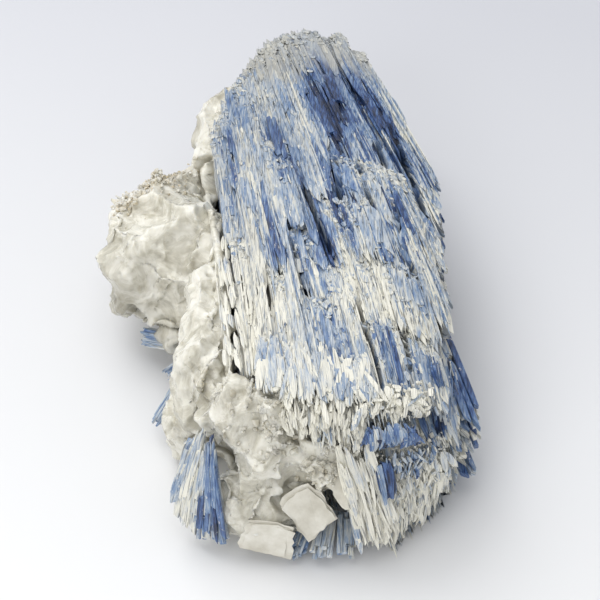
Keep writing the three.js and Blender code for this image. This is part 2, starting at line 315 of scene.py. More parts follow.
def kyanite_material(name, shift, dusting):
    # Kyanite is glassy along the blade and pearly where it cleaves. Its blue is zoned: deep in the middle
    # of a blade, pale at the margins, and broken by white mica films that follow the grain. A higher
    # shift makes it bluer, and a higher dusting leaves more mica on it.
    material, tree = new_material(name)
    uv = add_node(tree, "ShaderNodeUVMap", uv_map="grain")
    tint = add_node(tree, "ShaderNodeAttribute", attribute_name="tint")
    shade = add_node(tree, "ShaderNodeAttribute", attribute_name="shade")
    clay = add_node(tree, "ShaderNodeAttribute", attribute_name="clay")
    # Streaks 0.4 mm wide and about 5 mm long.
    fine_grain = add_node(tree, "ShaderNodeMapping", {"Vector": uv.outputs[0], "Scale": (2.5, 0.2, 1)})
    fine = add_node(tree, "ShaderNodeTexNoise", {
        "Vector": fine_grain.outputs[0], "Scale": 1.0, "Detail": 4.0, "Roughness": 0.7},
        noise_dimensions="2D")
    # Patches 1.6 mm wide and 6 mm long.
    broad_grain = add_node(tree, "ShaderNodeMapping", {
        "Vector": uv.outputs[0], "Scale": (0.62, 0.16, 1), "Location": (7.3, 2.1, 0)})
    broad = add_node(tree, "ShaderNodeTexNoise", {
        "Vector": broad_grain.outputs[0], "Scale": 1.0, "Detail": 3.0}, noise_dimensions="2D")
    streak = add_node(tree, "ShaderNodeMath", {0: fine.outputs["Fac"], 1: 0.85, 2: tint.outputs["Fac"]},
                      operation="MULTIPLY_ADD")
    band = add_node(tree, "ShaderNodeMath", {0: broad.outputs["Fac"], 1: 0.6, 2: streak.outputs[0]},
                    operation="MULTIPLY_ADD")
    level = add_node(tree, "ShaderNodeMath", {0: band.outputs[0], 1: shift - 0.725}, operation="ADD")
    blue = add_node(tree, "ShaderNodeValToRGB", {"Fac": level.outputs[0]})
    set_ramp(blue, [(0.0, srgb("#f0eddf")), (0.16, srgb("#dfddd1")), (0.32, srgb("#c4cace")),
                    (0.44, srgb("#a2b0c0")), (0.56, srgb("#7d95b4")), (0.68, srgb("#5875a3")),
                    (0.8, srgb("#375588")), (0.9, srgb("#243c6a")), (1.0, srgb("#16233f"))])
    # Mica dust: ragged white patches about 1 mm wide and 3 mm long.
    dust_grain = add_node(tree, "ShaderNodeMapping", {
        "Vector": uv.outputs[0], "Scale": (1.0, 0.36, 1), "Location": (1.7, 9.2, 0)})
    dust_noise = add_node(tree, "ShaderNodeTexNoise", {
        "Vector": dust_grain.outputs[0], "Scale": 1.0, "Detail": 6.0, "Roughness": 0.75},
        noise_dimensions="2D")
    dust = add_node(tree, "ShaderNodeMapRange", {
        "Value": dust_noise.outputs["Fac"], "From Min": 0.7 - 0.18 * dusting,
        "From Max": 0.78 - 0.18 * dusting})
    dusted = add_node(tree, "ShaderNodeMix", {
        "Factor": dust.outputs[0], "A": blue.outputs["Color"], "B": srgb("#efebde")}, data_type="RGBA")
    # Grooves: dark hairlines 0.2 mm wide and 8 mm long, painted shade where the laths part.
    groove_grain = add_node(tree, "ShaderNodeMapping", {
        "Vector": uv.outputs[0], "Scale": (3.2, 0.12, 1), "Location": (4.4, 5.5, 0)})
    groove_noise = add_node(tree, "ShaderNodeTexNoise", {
        "Vector": groove_grain.outputs[0], "Scale": 1.0, "Detail": 2.0, "Roughness": 0.5},
        noise_dimensions="2D")
    groove = add_node(tree, "ShaderNodeMapRange", {
        "Value": groove_noise.outputs["Fac"], "From Min": 0.415, "From Max": 0.32, "To Max": 0.7})
    grooved = add_node(tree, "ShaderNodeMix", {
        "Factor": groove.outputs[0], "A": dusted.outputs["Result"], "B": srgb("#3b414c")}, data_type="RGBA")
    clayed = add_node(tree, "ShaderNodeMix", {
        "Factor": clay.outputs["Fac"], "A": grooved.outputs["Result"], "B": srgb("#b3b1a8")},
        data_type="RGBA")
    # Painted shade: the shade attribute darkens towards a dark blue-grey in slits, hollows and under other
    # laths; on crumbs it is a random darker tone.
    shaded = add_node(tree, "ShaderNodeMix", {
        "Factor": shade.outputs["Fac"], "A": clayed.outputs["Result"], "B": srgb("#262b36")},
        data_type="RGBA")
    rough = add_node(tree, "ShaderNodeMapRange", {
        "Value": dust.outputs[0], "To Min": 0.36, "To Max": 0.75})
    ridges = add_node(tree, "ShaderNodeBump", {
        "Height": fine.outputs["Fac"], "Strength": 0.7, "Distance": 0.0003})
    surface = add_node(tree, "ShaderNodeBsdfPrincipled", {
        "Base Color": shaded.outputs["Result"], "Roughness": rough.outputs[0], "IOR": 1.6,
        "Normal": ridges.outputs[0], "Subsurface Weight": 0.08, "Subsurface Radius": (1.0, 1.0, 1.2),
        "Subsurface Scale": 0.001})
    add_node(tree, "ShaderNodeOutputMaterial", {"Surface": surface.outputs[0]})
    return material


KYANITE = {
    "kyanite_deep": kyanite_material("kyanite_deep_blue", 0.07, 0.1),
    "kyanite_mid": kyanite_material("kyanite_mid_blue", 0.02, 0.4),
    "kyanite_pale": kyanite_material("kyanite_pale_grey_blue", -0.02, 0.6),
    "kyanite_cream": kyanite_material("kyanite_under_mica_film", -0.1, 0.8),
}
NODE_SLOT = {part["node"]: part["material_slot"] for part in frame["record"]["subparts"]}

# Colour zones of the sheaf: across, y, half widths in both, and how much bluer (or whiter) each is.
BLUE_ZONES = [
    (0.66, 42, 0.06, 11, 0.55), (0.76, 52, 0.06, 8, 0.42), (0.95, 48, 0.07, 12, 0.36),
    (0.60, 38, 0.03, 7, 0.2), (0.87, 60, 0.12, 5, 0.2), (0.73, 68, 0.04, 3, 0.3),
    (0.98, 35, 0.05, 14, 0.25), (0.32, 26, 0.05, 10, 0.42), (0.375, 3, 0.02, 14, 0.35),
    (0.39, -12, 0.02, 8, 0.5), (0.28, -12, 0.08, 7, 0.24), (0.17, -12, 0.02, 9, 0.3),
    (0.07, 26, 0.05, 9, 0.24), (0.16, 44, 0.05, 8, 0.2), (0.05, 6, 0.05, 6, 0.15),
    (0.49, 3, 0.03, 10, 0.5), (0.60, 14, 0.05, 9, 0.28), (0.50, 22, 0.03, 6, 0.2),
    (0.43, 47, 0.03, 8, 0.2), (0.82, 33, 0.05, 12, 0.2), (0.79, 8, 0.04, 14, 0.3),
    (0.66, -26, 0.06, 7, 0.14), (0.62, -3, 0.07, 8, 0.16), (0.52, -46, 0.04, 10, 0.36),
    (0.28, -44, 0.04, 8, 0.28), (0.25, -58, 0.05, 5, 0.22), (0.38, -60, 0.02, 10, 0.15),
    (0.62, -60, 0.04, 9, 0.12), (0.66, -50, 0.03, 10, 0.12),
]
WHITE_ZONES = [
    (0.06, -42, 0.10, 22, -0.3), (0.44, -25, 0.05, 10, -0.3), (0.67, -36, 0.05, 3, -0.4),
    (0.24, 12, 0.04, 8, -0.16), (0.25, 45, 0.15, 15, -0.04), (0.57, -28, 0.02, 7, -0.3),
    (0.57, 28, 0.05, 4, -0.1), (0.22, -67, 0.06, 3, -0.3), (0.48, -66, 0.07, 3, -0.3),
    (0.80, 28, 0.02, 14, -0.25), (0.97, 8, 0.04, 10, -0.2), (0.41, -40, 0.025, 12, -0.25),
    (0.6, -38, 0.08, 8, -0.32),
]
# Darker zones, where the sheaf is mixed towards a dark blue-grey.
DARKER_ZONES = [
    (0.20, 44, 0.28, 20, 0.14), (0.35, 20, 0.1, 12, 0.12), (0.03, 10, 0.08, 24, 0.12),
    (0.6, 62, 0.3, 6, 0.16), (0.70, 46, 0.08, 9, 0.08), (0.15, -12, 0.1, 10, 0.08),
]


def zone_sum(zones, across, y):
    """Adds up soft-edged oval zones."""
    total = np.zeros(np.broadcast(across, y).shape)
    for zone_across, zone_y, half_across, half_y, gain in zones:
        far_out = ((across - zone_across) / half_across) ** 2 + ((y - zone_y) / half_y) ** 2
        total += gain * np.exp(-0.7 * far_out)
    return total


def zone_tint(across, y):
    """How much bluer than the plain tint the sheaf is at a place, or how much whiter if below zero."""
    return zone_sum(BLUE_ZONES + WHITE_ZONES, across, y)


def restless(across, y):
    """Where neighbouring laths differ most: the right half, and the near end."""
    return 0.08 + 0.09 * float(across > 0.5 and -15 < y < 45) + 0.04 * float(y < -20)


# Open slits between blades: across and y at the far end, the same at the near end, half width and depth.
SLITS = [
    (0.985, 43, 0.905, 3, 0.75, 5.0), (0.85, 33, 0.815, 21, 0.6, 4.0), (0.52, 40, 0.545, 30, 0.45, 3.0),
    (0.575, 22, 0.52, 3, 0.8, 4.5), (0.37, 12, 0.385, -17, 0.6, 3.5), (0.73, -12, 0.73, -20, 0.8, 4.0),
    (0.245, -8, 0.25, -34, 0.4, 2.5), (0.11, -14, 0.12, -44, 0.45, 2.5), (0.19, 22, 0.175, -6, 0.35, 2.0),
    (0.68, 22, 0.66, 2, 0.5, 3.0), (0.43, -30, 0.435, -62, 0.6, 4.0), (0.78, 12, 0.74, -6, 0.5, 3.5),
    (0.575, -22, 0.57, -35, 0.35, 2.5), (0.62, -38, 0.60, -60, 0.5, 3.5),
]


def slit_depth(across, y):
    """How deep, in millimetres, the open slits are at a place."""
    total = np.zeros(np.broadcast(across, y).shape)
    for far_across, far_y, near_across, near_y, half_width, depth in SLITS:
        share = (far_y - y) / (far_y - near_y)
        centre = far_across + (near_across - far_across) * share
        off = np.abs(across - centre) * fan_width(y) / half_width
        ends = np.clip(share * 6, 0, 1) * np.clip((1 - share) * 6, 0, 1)
        total = np.maximum(total, depth * np.clip(2.2 - 2 * off, 0, 1) * ends)
    return total


def cell_of(node):
    """Reads back the cell of the fan that a CAD blade fills: its left and right sides as shares across,
    its far and near ends in mm, and its foot and top as shares of the sheaf's height."""
    co = np.array([v.co[:] for v in frame["nodes"][node].data.vertices]) / MM
    x, y, z = co.T
    across = fan_across(x, y)
    bed = bed_z(x, y)
    share = (z - bed) / (crest_z(x, y) - bed)
    return across.min(), across.max(), y.max(), y.min(), share.min(), np.quantile(share, 0.6)


def cut_range(low, high, step, rng):
    """Cuts a range into pieces of uneven width, about one step wide each."""
    count = max(1, int(round((high - low) / step)))
    inner = (np.arange(1, count) + rng.uniform(-0.38, 0.38, count - 1)) / count
    return low + (high - low) * np.concatenate([[0], inner, [1]])


LATH = lath_master(6, 0.13)
SPLINTER = lath_master(3)


def flake_master(sides):
    """A thin many-sided plate that fills a unit cube."""
    bm = bmesh.new()
    bmesh.ops.create_circle(bm, cap_ends=True, segments=sides, radius=0.5)
    lifted = bmesh.ops.extrude_face_region(bm, geom=bm.faces[:])["geom"]
    top = [v for v in lifted if isinstance(v, bmesh.types.BMVert)]
    bmesh.ops.translate(bm, verts=bm.verts, vec=(0, 0, -0.5))
    bmesh.ops.translate(bm, verts=top, vec=(0, 0, 1))
    bmesh.ops.recalc_face_normals(bm, faces=bm.faces)
    return master_arrays(bm)


# The cuts that break a crumb: which way each faces, and how far out it lies.
CHIP_CUTS = [
    ((1, 0.6, 0.8), 0.42), ((-0.7, 1, 0.5), 0.4), ((-0.4, -0.9, 1), 0.42), ((0.9, -0.8, -0.3), 0.4),
    ((-1, -0.3, -0.6), 0.42),
]


def chip_master():
    """An angular crumb: a unit cube with its corners struck off."""
    bm = bmesh.new()
    bmesh.ops.create_cube(bm, size=1)
    for normal, place in CHIP_CUTS:
        way = Vector(normal).normalized()
        geom = bm.verts[:] + bm.edges[:] + bm.faces[:]
        cut = bmesh.ops.bisect_plane(bm, geom=geom, plane_co=way * place, plane_no=way, clear_outer=True)
        rim = [e for e in cut["geom_cut"] if isinstance(e, bmesh.types.BMEdge)]
        bmesh.ops.contextual_create(bm, geom=rim)
    bmesh.ops.recalc_face_normals(bm, faces=bm.faces)
    return master_arrays(bm)


FLAKE = flake_master(6)
CHIP = chip_master()


def fan_mesh(name, master, rows, cell, droop=0.0, leaning=True, zone_share=1.0, base_tint=0.42):
    """Maps laths into the fan. A row is across, far y, near y, width, depth, thickness, skew, lift, taper,
    tone, extra tint. depth is taken down from the top of the cell."""
    places, faces = master
    across_mid, far, near, width, depth, thick, skew, lift, taper, tone, extra = (
        np.array(rows, float)[:, :, None].transpose(1, 0, 2))
    a, b, c = (places[None, :, i] for i in range(3))
    share = 0.5 - b
    at_end = np.abs(2 * b) ** 4
    shrink = 1 - (1 - taper) * at_end
    y = far + (near - far) * share + at_end * skew * (2 * a + np.sign(-b) * 0.5)
    across = across_mid + width * a * shrink / fan_width(y)
    placed = across + (lean(across, y) if leaning else 0)
    x = fan_x(placed, y)
    bed = bed_z(x, y)
    top = bed + (crest_z(x, y) - bed) * cell[5]
    slit = slit_depth(across, y) if leaning else 0.0
    z = top - depth - slit + thick * shrink * (c - 0.5) + lift * (share - 0.5) - droop * share ** 3
    # Blades wander about half a millimetre from straight.
    x = x + 0.55 * np.sin(y / 21 + z / 16)
    z = np.maximum(z + 0.38 * np.sin(y / 17 + x / 19), 0.15)
    mesh = copies_mesh(name, np.stack([x, y, z], 2), faces)
    # Each lath reads the zones from a slightly different place, so their edges are ragged.
    ragged_across, ragged_y = 0.035 * (tone - 0.5), 12 * ((7 * tone) % 1 - 0.5)
    zone = zone_tint(across_mid + ragged_across + 0.3 * (across - across_mid), y + ragged_y)
    tint = base_tint + zone_share * zone + extra - 0.05 * np.abs(2 * a) ** 3 - 0.08 * at_end
    set_attribute(mesh, "tint", tint)
    # Painted shade: darker in the open slits and on laths that lie deep below the top of the cell, plus the
    # darker zones.
    darkening = zone_sum(DARKER_ZONES, across, y) + (np.clip(depth / 5 - 0.1, 0, 0.3) if leaning else 0.0)
    set_attribute(mesh, "shade", np.clip(slit / 4, 0, 0.75) + darkening)
    weathered = smooth_step(y + 20 * np.clip(0.5 - across, -0.3, 0) + 8 * (tone - 0.5), 54, 64)
    set_attribute(mesh, "clay", 0.75 * weathered * (0.6 + 0.4 * tone))
    set_uv(mesh, x + 31 * tone + 0.8 * z, y + 57 * tone)
    return mesh


def join_meshes(name, *meshes):
    """Joins meshes that carry the same attributes into one."""
    bm = bmesh.new()
    for mesh in meshes:
        bm.from_mesh(mesh)
    joined = bpy.data.meshes.new(name)
    bm.to_mesh(joined)
    bm.free()
    return joined


def random_tint(rng, spread=0.06, filmed=0.12):
    """Most laths are near their zone's blue, some are under a white film and a few are darker."""
    kind = rng.random()
    return rng.normal(0, spread) - (0.22 if kind < filmed else 0) + (0.13 if kind > 0.9 else 0)


# How far the laths stop behind the broken near end.
NEAR_END_BACK = 3


def body_rows(cell, rng, inset, jut, width, layer, tint_spread=0.0, end_spread=0.0):
    """Laths that fill a blade from side to side, in layers from its top to its foot. Long ones are broken
    in two places, and all stop a little behind the broken near end, which is left to the fibres."""
    left, right, far, near, low, high = cell
    middle_y = (far + near) / 2
    edges = cut_range(left, right, width / fan_width(middle_y), rng)
    rows = []
    for a0, a1 in zip(edges[:-1], edges[1:]):
        across = np.array((a0 + a1) / 2)
        start = min(far, float(far_break_y(across)) + jut)
        stop = max(near, float(flank_y(across + lean(across, near), inset)),
                   float(front_y(across)) + NEAR_END_BACK)
        if start - stop < 3:
            continue
        x = float(fan_x(across, (start + stop) / 2))
        bed = float(bed_z(x, (start + stop) / 2))
        room = (float(crest_z(x, (start + stop) / 2)) - bed) * (high - low)
        depth = 0.7 + abs(rng.normal(0, 0.4))
        while depth < room:
            thick = layer * rng.uniform(0.7, 1.4)
            cuts = np.sort(rng.uniform(stop + 4, start - 4, 2))[::-1] if start - stop > 24 else []
            for y0, y1 in zip([start, *cuts], [*cuts, stop]):
                if y0 - y1 > 2.5:
                    wide = (a1 - a0) * fan_width((y0 + y1) / 2) * 0.99
                    far_end = y0 + rng.uniform(-1.2, 1.2)
                    near_end = y1 + rng.uniform(-1.6, 1.2 + end_spread)
                    filmed = 0.06 if y1 > -20 else 0.12
                    unrest = restless(across, (y0 + y1) / 2) + tint_spread
                    rows.append((float(across), far_end, near_end, wide, depth, thick * 1.15,
                                 rng.normal(0, 0.6), rng.normal(0, 0.5), rng.uniform(0.55, 0.95),
                                 rng.random(), random_tint(rng, unrest, filmed)))
            depth += thick
    return rows


def skin_rows(cell, rng, density):
    """Loose splinters over the top of a blade, which give it its fibrous, stepped face."""
    left, right, far, near = cell[:4]
    middle_y = (far + near) / 2
    area = (right - left) * fan_width(middle_y) * (far - near)
    rows = []
    for _ in range(int(density * area / 9)):
        across = rng.uniform(left, right)
        far_limit = min(far, float(far_break_y(np.array(across)))) - rng.uniform(0.5, 5)
        near_limit = max(near - 1, float(flank_y(np.array(across + lean(across, near)), 0)),
                         float(front_y(across)) + NEAR_END_BACK) - rng.uniform(0, 2)
        length = float(np.clip(rng.lognormal(2.65, 0.5), 4, 38))
        centre = rng.uniform(near_limit, far_limit)
        y0, y1 = min(far_limit, centre + length / 2), max(near_limit, centre - length / 2)
        leaf = rng.random() < 0.3
        width = rng.uniform(1.4, 3.4) if leaf else rng.uniform(0.3, 0.9)
        depth = abs(rng.normal(0, 0.4)) + (0.25 if leaf else 0) - 0.15
        blueness = float(zone_tint(np.array(across), np.array(centre)))
        bare = blueness > 0.2 and rng.random() < 0.6
        if bare or y0 - y1 < 2 or slit_depth(np.array(across), np.array((y0 + y1) / 2)) > 0.8:
            continue
        filmed = 0.02 if blueness > 0.15 else 0.08 if centre > -15 else 0.16
        unrest = restless(across, centre)
        rows.append((across, y0, y1, width, depth, rng.uniform(0.25, 0.55), rng.normal(0, 1.2),
                     rng.normal(0, 0.3), rng.uniform(0.15, 0.7), rng.random(),
                     random_tint(rng, unrest, filmed)))
    return rows


def film_rows(cell, rng, density):
    """Flakes of mica, from dust to films 3 mm long, thickest where the sheaf is whitest."""
    left, right, far, near = cell[:4]
    area = (right - left) * fan_width((far + near) / 2) * (far - near)
    rows = []
    for _ in range(int(density * area)):
        across, y = rng.uniform(left, right), rng.uniform(near, far)
        inside = flank_y(np.array(across), 0) < y < far_break_y(np.array(across))
        whiteness = 0.25 - 2.0 * float(zone_tint(np.array(across), np.array(y)))
        if inside and rng.random() < whiteness:
            long = rng.uniform(0.6, 2.8)
            rows.append((across, y + long / 2, y - long / 2, rng.uniform(0.3, 1.1), rng.uniform(-0.1, 0.5),
                         rng.uniform(0.08, 0.22), rng.normal(0, 0.3), rng.normal(0, 0.35), 0.9, rng.random(),
                         rng.uniform(-0.5, -0.2)))
    return rows


def crust_rows(cell, rng, density):
    """Grey, clayey crumbs on the weathered far end."""
    left, right, far, near = cell[:4]
    rows = []
    width = (right - left) * fan_width(far)
    for _ in range(int(density * width * 26)):
        across = rng.uniform(left, right)
        limit = min(far, float(far_break_y(np.array(across))))
        y = limit - abs(rng.normal(0, 7 if across < 0.72 else 4)) + rng.uniform(-1.5, 0.5)
        if y > near:
            long = rng.uniform(0.6, 2.6)
            depth = rng.uniform(-0.3, 0.6) if y < limit - 1 else rng.uniform(0, 7)
            rows.append((across, y + long / 2, y - long / 2, rng.uniform(0.6, 2.2), depth,
                         rng.uniform(0.5, 1.6), rng.normal(0, 0.5), rng.normal(0, 0.5), 0.9, rng.random(),
                         rng.normal(0.05, 0.12)))
    return rows


def top_blade(node, rng):
    """Clean blue blades cleave into broad laths, and the pale fibrous ones into narrow laths."""
    cell = cell_of(node)
    lath_width = 2.5 if NODE_SLOT[node] in ("kyanite_deep", "kyanite_mid") else 1.6
    parts = [
        fan_mesh(node + "_body", LATH, body_rows(cell, rng, 0, 0, lath_width, layer=1.5), cell),
        fan_mesh(node + "_skin", SPLINTER, skin_rows(cell, rng, density=2.4), cell),
    ]
    film, crust = film_rows(cell, rng, density=0.2), crust_rows(cell, rng, density=0.5)
    if film:
        parts.append(fan_mesh(node + "_film", FLAKE, film, cell, zone_share=0.3))
    if crust:
        parts.append(fan_mesh(node + "_crust", CHIP, crust, cell, zone_share=0.3, base_tint=0.3))
    slot = NODE_SLOT[node]
    add_piece(node + "_laths", join_meshes(node + "_laths", *parts), KYANITE[slot], slot, node)


def end_rows(cell, rng, inset, jut, room):
    """Fibres at a row blade's ends and along the flank, where it is splintered all the way down: about
    two for each square millimetre of its near end, and one at its far end."""
    left, right, far, near = cell[:4]
    width = (right - left) * fan_width(near)
    rows = []
    for _ in range(int(2.3 * width * room / 1.1)):
        across = rng.uniform(left, right)
        stop = max(near, float(flank_y(np.array(across), inset)), float(front_y(across)))
        stop = stop - rng.uniform(-2.5, 1.6)
        length = rng.uniform(4, 14)
        rows.append((across, stop + length, stop, rng.uniform(0.45, 2.2), rng.uniform(0, room),
                     rng.uniform(0.4, 1.3), rng.normal(0, 1.1), rng.normal(0, 1.1), rng.uniform(0.1, 0.6),
                     rng.random(), random_tint(rng, 0.16)))
    for _ in range(int((right - left) * fan_width(far) * room / 1.1)):
        across = rng.uniform(left, right)
        start = min(far, float(far_break_y(np.array(across))) + jut) + rng.uniform(-3, 1.5)
        rows.append((across, start, start - rng.uniform(5, 12), rng.uniform(0.4, 1.3), rng.uniform(0, room),
                     rng.uniform(0.4, 1.1), rng.normal(0, 1.2), rng.normal(0, 0.5), rng.uniform(0.2, 0.8),
                     rng.random(), random_tint(rng, 0.14)))
    return rows


def row_blade(node, rng, inset, jut):
    """A blade under the top ones, set in from the flank, whose far end may stand out or back."""
    cell = cell_of(node)
    left, right, _, near, low, high = cell
    x = float(fan_x((left + right) / 2, near + 10))
    room = (float(crest_z(x, near + 10)) - float(bed_z(x, near + 10))) * (high - low)
    laths = body_rows(cell, rng, inset, jut, width=1.9, layer=1.7, tint_spread=0.12, end_spread=3.6)
    body = fan_mesh(node + "_body", LATH, laths, cell, leaning=False, zone_share=0.6)
    ends = fan_mesh(node + "_ends", SPLINTER, end_rows(cell, rng, inset, jut, room), cell, droop=1.5,
                    leaning=False, zone_share=0.4, base_tint=0.38)
    slot = NODE_SLOT[node]
    add_piece(node + "_laths", join_meshes(node + "_laths", body, ends), KYANITE[slot], slot, node)


rng = np.random.default_rng(7)
# How far each row stands in from the flank, and how far its far end stands out, or back if below zero.
ROW_INSETS = {"upper_row": (0.5, -1), "middle_row": (1.5, -3), "bottom_row": (4.5, -6)}
for node in sorted(frame["nodes"]):
    if node.startswith("top_blade"):
        top_blade(node, rng)
    for row_name, (inset, jut) in ROW_INSETS.items():
        if node.startswith(row_name):
            row_blade(node, rng, inset, jut)


# Clean blades that lie bare on top of the fibres, with flat, glassy faces and stepped ends.
# Across, far end, near end, width in millimetres and tint: deep blue ones first, then lighter ones.
CLEAN_BLADES = {
    "kyanite_deep": [
        (0.61, 50, 33, 3.2, 0.78), (0.655, 53, 30, 2.6, 0.95), (0.75, 58, 46, 2.6, 0.85),
        (0.70, 47, 36, 1.8, 0.9), (0.93, 52, 38, 2.4, 0.85), (0.96, 42, 30, 2.0, 0.75),
        (0.315, 36, 19, 2.8, 0.72), (0.475, 12, -5, 1.6, 0.85), (0.50, 1, -7, 1.2, 0.8),
        (0.385, -2, -17, 1.8, 0.85), (0.515, -40, -59, 2.4, 0.7), (0.48, -44, -56, 1.4, 0.62),
        (0.08, 34, 22, 1.6, 0.66), (0.78, 11, -3, 2.0, 0.72), (0.16, -10, -20, 1.2, 0.7),
    ],
    "kyanite_mid": [
        (0.545, -19, -35, 2.2, -0.1), (0.62, -20, -31, 3.4, 0.4), (0.67, -21, -30, 2.4, 0.46),
        (0.27, -6, -17, 3.6, 0.52), (0.22, -7, -15, 1.8, 0.46), (0.24, -47, -62, 3.0, 0.5),
        (0.29, -38, -52, 2.4, 0.54), (0.58, 18, 8, 3.4, 0.58), (0.62, 1, -12, 3.6, 0.46),
        (0.56, 0, -16, 2.6, 0.42), (0.43, 56, 41, 2.2, 0.54), (0.20, 28, 14, 2.4, 0.4),
        (0.11, 14, 2, 2.2, 0.46), (0.85, 30, 18, 2.4, 0.5), (0.70, 12, -2, 2.6, 0.4),
        (0.39, -46, -60, 2.0, 0.5), (0.12, 50, 38, 2.4, 0.54), (0.26, 56, 46, 2.0, 0.4),
        (0.60, -44, -56, 2.0, 0.46),
    ],
}


def cell_under(across, y):
    """The cell of the top blade at a place in the fan."""
    for node in sorted(frame["nodes"]):
        if node.startswith("top_blade"):
            cell = cell_of(node)
            if cell[0] <= across <= cell[1] and cell[3] <= y <= cell[2]:
                return cell
    return None


# Each is two laths side by side, one a little higher than the other.
for slot, listed in CLEAN_BLADES.items():
    slabs = []
    for placed, far, near, width, tint in listed:
        middle_y = (far + near) / 2
        across = placed - float(lean(placed, middle_y))
        cell = cell_under(across, middle_y)
        if cell is None:
            continue
        rows = []
        for side in (-0.25, 0.25):
            rows.append((across + side * width / fan_width(middle_y), far + rng.normal(0, 1),
                         near + rng.normal(0, 1), 0.52 * width, -0.35 + 0.2 * side, 1.3, rng.normal(0, 0.8),
                         rng.normal(0, 0.2), rng.uniform(0.75, 1), rng.random(), rng.normal(0, 0.03)))
        slabs.append(fan_mesh("slab", LATH, rows, cell, zone_share=0.0, base_tint=tint))
    name = "clean_blades_" + slot.removeprefix("kyanite_")
    add_piece(name, join_meshes(name, *slabs), KYANITE[slot], slot)


# ---- Sprays of fibres ----
# Where the sheaf breaks down over its near end, the laths come apart into fibres and mica-coated leaves
# that hang over the step, fan out to the right and end in ragged tips.


# Fibres and crumbs end this far above the floor.
FLOOR_GAP = 0.2


def patch_frame(corners):
    """The far left, far right, near left and near right corners of a patch, and the way it faces."""
    far_left, far_right, near_left, near_right = (np.array(corner, float) for corner in corners)
    outward = np.cross(far_right - far_left, near_left - far_left)
    return far_left, far_right, near_left, near_right, outward / -np.linalg.norm(outward)


def spray(name, corners, rng, count, lengths, widths, spread, tint, slot, bulge, curl, shade):
    """Fibres over a four-cornered patch. Lengths are shares of the patch; widths, spread, bulge and curl
    are in millimetres."""
    far_left, far_right, near_left, near_right, outward = patch_frame(corners)
    patch_width = np.linalg.norm(far_right - far_left + near_right - near_left) / 2
    patch_length = np.linalg.norm(near_left - far_left + near_right - far_right) / 2
    draws = rng.uniform(0, 1, (count, 8, 1))
    u, start, long, wide, lift, tone, taper, jag = draws.transpose(1, 0, 2)
    tints = np.array([[random_tint(rng, 0.15)] for _ in range(count)])
    length = lengths[0] + (lengths[1] - lengths[0]) * long
    # Fibres of one clump lean the same way and end at about the same place.
    clump = np.floor(u * count ** 0.5 * 0.6)
    start = start * np.maximum(0, 1 - length) + 0.06 * np.sin(5.3 * clump)
    places, faces = SPLINTER
    a, b, c = (places[None, :, i] for i in range(3))
    at_end = np.abs(2 * b) ** 4
    shrink = 1 - (1 - 0.15 - 0.6 * taper) * at_end
    s = start + length * (0.5 - b) + at_end * (jag - 0.5) * a * 0.08
    width = widths[0] + (widths[1] - widths[0]) * wide ** 2
    drift = ((jag - 0.5) * 0.7 + 0.22 * np.sin(9.7 * clump)) * (s - start)
    across = u + width * a * shrink / patch_width + drift
    far_edge = far_left + (far_right - far_left) * across[..., None]
    near_edge = near_left + (near_right - near_left) * across[..., None]
    base = far_edge + (near_edge - far_edge) * s[..., None]
    height = bulge * 4 * s * (1 - s) + spread * (lift - 0.5) + (0.3 + 0.4 * width) * shrink * c
    height = height + curl * (tone - 0.3) * (0.5 - b) ** 2
    points = base + outward * height[..., None]
    points[..., 2] = np.maximum(points[..., 2], FLOOR_GAP)
    mesh = copies_mesh(name, points, faces)
    set_attribute(mesh, "tint", tint + tints - 0.08 * at_end + 0 * s)
    # Painted shade: fibres that lie lower under the others are darker, and the shade column raises or lowers
    # this for a whole patch, such as the hollow.
    set_attribute(mesh, "shade", np.clip(shade + 0.25 - 0.8 * lift, 0, 0.8) + 0 * s)
    set_attribute(mesh, "clay", 0.3 * (wide < 0.15) + 0 * s)
    set_uv(mesh, across * patch_width + 31 * tone, s * patch_length + 57 * tone)
    add_piece(name, mesh, KYANITE[slot], slot)
